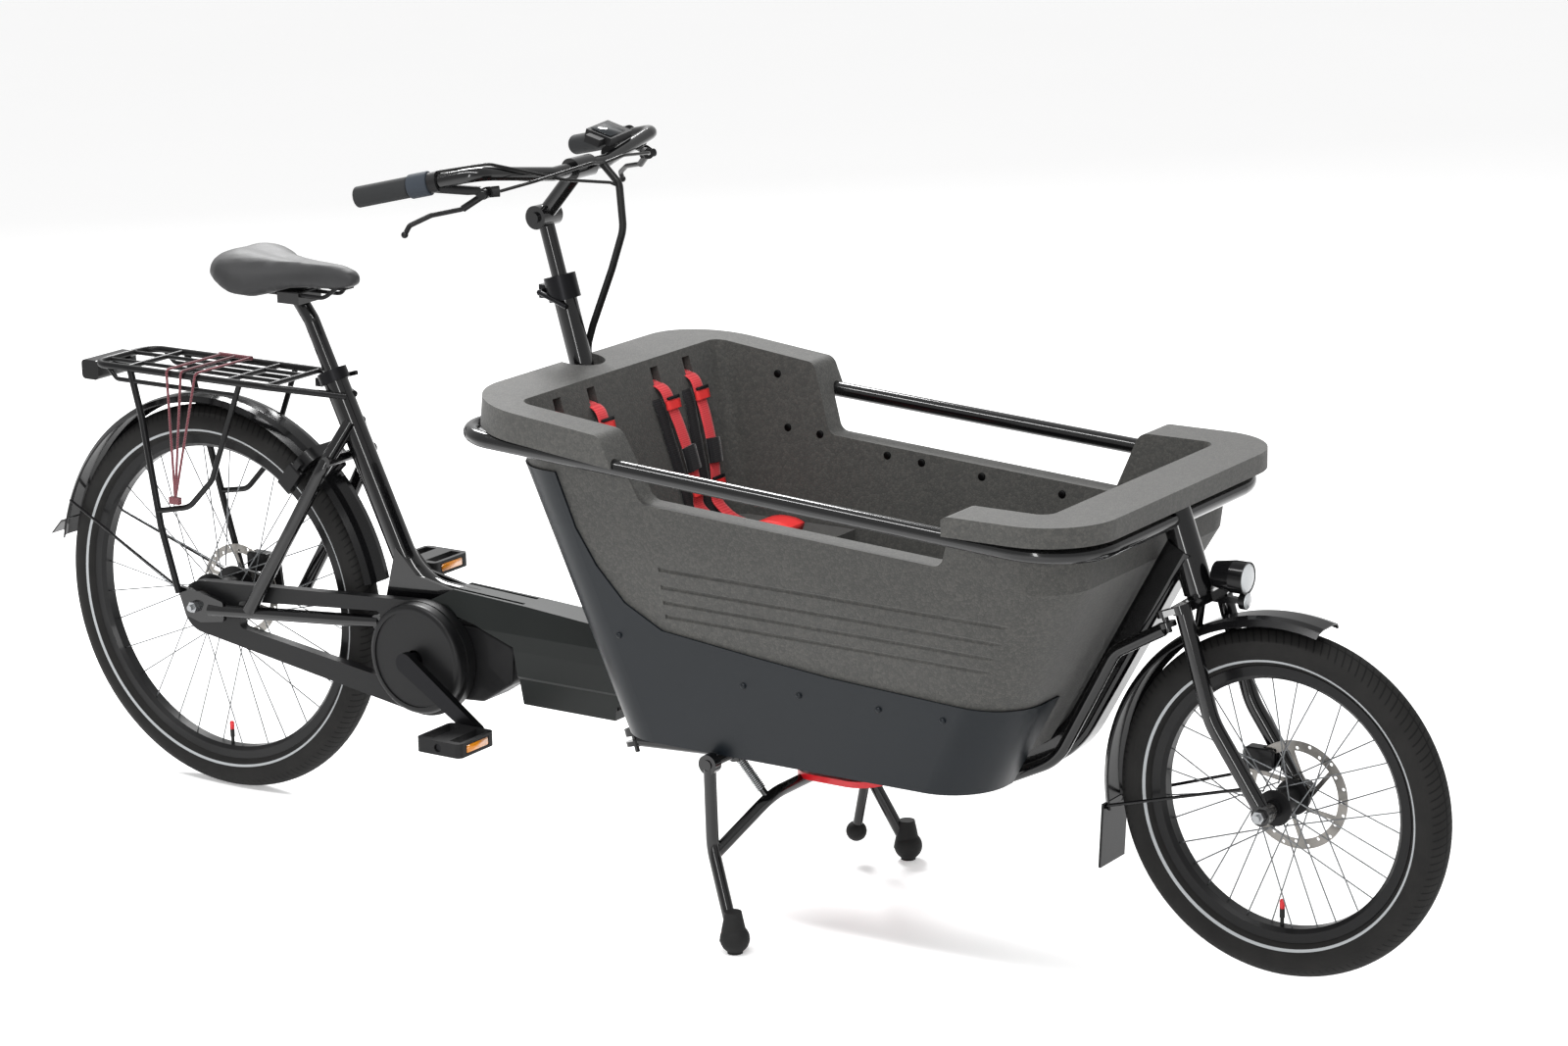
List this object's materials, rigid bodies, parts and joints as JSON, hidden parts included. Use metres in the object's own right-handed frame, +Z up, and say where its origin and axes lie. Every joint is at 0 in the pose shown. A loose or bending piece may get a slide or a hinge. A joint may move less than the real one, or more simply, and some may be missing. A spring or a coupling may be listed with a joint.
{
  "type": "front-load cargo bicycle",
  "caption": "Electric cargo bicycle with a moulded foam box between the steering column and a small front wheel, on a double-leg stand.",
  "frame": {"origin": "on the floor, straight below the rear wheel's axle, in the bicycle's middle plane", "axes": "+X forward, +Y to the rider's left, +Z up"},
  "size_m": [2.6471, 0.656, 1.1868],
  "materials": {
    "frame_paint": "gloss black paint",
    "axle_steel": "zinc-plated steel",
    "bearing_steel": "ground steel",
    "motor_casting": "satin black cast aluminium",
    "cover_plastic": "satin grey-green plastic",
    "battery_case": "matt black plastic",
    "guard_plastic": "satin black plastic",
    "chain_steel": "oiled steel",
    "mudguard_plastic": "gloss black plastic",
    "rack_paint": "satin black powder coat",
    "elastic_cord": "dark red woven elastic",
    "lamp_plastic": "gloss moulded plastic",
    "lock_paint": "satin black",
    "caliper_metal": "satin black anodised",
    "clamp_metal": "satin black anodised",
    "box_foam": "moulded bead foam, dark grey",
    "skirt_plastic": "satin blue-black plastic",
    "webbing": "coral red and black webbing",
    "tyre_rubber": "matt black rubber",
    "tube_rubber": "butyl rubber",
    "rim_paint": "satin black anodised",
    "spoke_steel": "bright stainless wire",
    "hub_metal": "satin black",
    "disc_steel": "brushed stainless",
    "crank_metal": "black anodised",
    "pedal_plastic": "matt black plastic with amber reflectors",
    "post_paint": "gloss black",
    "rail_steel": "black chromed steel",
    "saddle_cover": "textured dark grey cover over foam",
    "grip_rubber": "dark grey rubber",
    "control_plastic": "matt black plastic",
    "cable_jacket": "satin black jacket",
    "shifter_rubber": "blue-grey rubber",
    "lever_metal": "satin black aluminium",
    "foot_rubber": "matt black rubber",
    "pedal_red": "gloss red powder coat"
  },
  "bodies": {
    "frame": {"main_frame": "frame_paint", "box_rail": "frame_paint", "rear_triangle": "frame_paint", "rear_axle_bar": "axle_steel", "steering_bearings": "bearing_steel", "motor_unit": "motor_casting", "battery_cover": "cover_plastic", "battery_pack": "battery_case", "chain_guard": "guard_plastic", "chain": "chain_steel", "rear_mudguard": "mudguard_plastic", "rack": "rack_paint", "rack_straps": "elastic_cord", "tail_light": "lamp_plastic", "ring_lock": "lock_paint", "rear_caliper": "caliper_metal", "seat_clamp": "clamp_metal", "box_shell": "box_foam", "box_bench": "box_foam", "box_skirt": "skirt_plastic", "harness_straps": "webbing"},
    "rear_wheel": {"rear_tyre": "tyre_rubber", "rear_inner_tube": "tube_rubber", "rear_rim": "rim_paint", "rear_spokes": "spoke_steel", "rear_hub": "hub_metal", "rear_brake_disc": "disc_steel"},
    "front_wheel": {"front_tyre": "tyre_rubber", "front_inner_tube": "tube_rubber", "front_rim": "rim_paint", "front_spokes": "spoke_steel", "front_hub": "hub_metal", "front_brake_disc": "disc_steel"},
    "sprocket": {"rear_sprocket": "chain_steel"},
    "cranks": {"crank_arms": "crank_metal", "chainring": "chain_steel"},
    "right_pedal_body": {"right_pedal": "pedal_plastic"},
    "left_pedal_body": {"left_pedal": "pedal_plastic"},
    "saddle_assembly": {"seatpost": "post_paint", "saddle_rails": "rail_steel", "saddle_cushion": "saddle_cover"},
    "fork_assembly": {"fork": "frame_paint", "front_axle_bar": "axle_steel", "front_mudguard": "mudguard_plastic", "headlight": "lamp_plastic", "front_caliper": "caliper_metal"},
    "column": {"steering_column": "frame_paint", "column_clamp": "clamp_metal"},
    "handlebar_assembly": {"steering_post": "post_paint", "handlebar": "post_paint", "grips": "grip_rubber", "controls": "control_plastic", "control_cables": "cable_jacket"},
    "gear_shifter": {"twist_shifter": "shifter_rubber"},
    "right_brake_lever": {"right_lever": "lever_metal"},
    "left_brake_lever": {"left_lever": "lever_metal"},
    "rod": {"steering_rod": "frame_paint"},
    "stand": {"kickstand": "frame_paint", "stand_feet": "foot_rubber", "stand_pedal": "pedal_red"}
  },
  "joints": [
    {"name": "column_steer", "type": "hinge", "parent": "frame", "child": "column", "pos_m": [0.86617, 0, 0.5], "axis": [-0.2656, 0, 0.9641], "range_deg": [-25, 25]},
    {"name": "fork_steer", "type": "hinge", "parent": "frame", "child": "fork_assembly", "pos_m": [1.85698, 0, 0.66], "axis": [-0.3256, 0, 0.9455], "range_deg": [-25, 25]},
    {"name": "rod_swing", "type": "hinge", "parent": "column", "child": "rod", "pos_m": [0.913, -0.072, 0.23963], "axis": [-0.2656, 0, 0.9641], "range_deg": [-25, 25]},
    {"name": "rear_wheel_spin", "type": "hinge", "parent": "frame", "child": "rear_wheel", "pos_m": [0, 0, 0.335], "axis": [0, 1, 0], "continuous": true},
    {"name": "front_wheel_spin", "type": "hinge", "parent": "fork_assembly", "child": "front_wheel", "pos_m": [2.017, 0, 0.303], "axis": [0, 1, 0], "continuous": true},
    {"name": "crank_spin", "type": "hinge", "parent": "frame", "child": "cranks", "pos_m": [0.473, 0, 0.31], "axis": [0, 1, 0], "continuous": true},
    {"name": "sprocket_spin", "type": "hinge", "parent": "frame", "child": "sprocket", "pos_m": [0, -0.042, 0.335], "axis": [0, 1, 0], "continuous": true},
    {"name": "right_pedal_spin", "type": "hinge", "parent": "cranks", "child": "right_pedal_body", "pos_m": [0.61394, -0.153, 0.21494], "axis": [0, 1, 0], "continuous": true},
    {"name": "left_pedal_spin", "type": "hinge", "parent": "cranks", "child": "left_pedal_body", "pos_m": [0.33206, 0.153, 0.40506], "axis": [0, 1, 0], "continuous": true},
    {"name": "seatpost_slide", "type": "slide", "parent": "frame", "child": "saddle_assembly", "axis": [-0.4199, 0, 0.9076], "range_m": [-0.02, 0.06]},
    {"name": "handlebar_slide", "type": "slide", "parent": "column", "child": "handlebar_assembly", "axis": [-0.2656, 0, 0.9641], "range_m": [-0.05, 0.06], "deforming": ["control_cables"]},
    {"name": "shifter_twist", "type": "hinge", "parent": "handlebar_assembly", "child": "gear_shifter", "pos_m": [0.67362, -0.25664, 1.13977], "axis": [0.9492, 0.2298, 0.2148], "range_deg": [-60, 60]},
    {"name": "right_lever_pull", "type": "hinge", "parent": "handlebar_assembly", "child": "right_brake_lever", "pos_m": [0.764, -0.214, 1.126], "axis": [-0.2359, 0.9718, 0], "range_deg": [0, 16], "stiffness_Nm_per_rad": 1, "springref_deg": -11.46},
    {"name": "left_lever_pull", "type": "hinge", "parent": "handlebar_assembly", "child": "left_brake_lever", "pos_m": [0.764, 0.214, 1.126], "axis": [0.2359, 0.9718, 0], "range_deg": [0, 16], "stiffness_Nm_per_rad": 1, "springref_deg": -11.46},
    {"name": "stand_fold", "type": "hinge", "parent": "frame", "child": "stand", "pos_m": [1.159, 0, 0.283], "axis": [0, 1, 0], "range_deg": [0, 78]}
  ],
  "couplings": [
    {"joint": "fork_steer", "follows": "column_steer", "ratio": 1},
    {"joint": "rod_swing", "follows": "column_steer", "ratio": -1},
    {"joint": "sprocket_spin", "follows": "crank_spin", "ratio": 2.375}
  ]
}
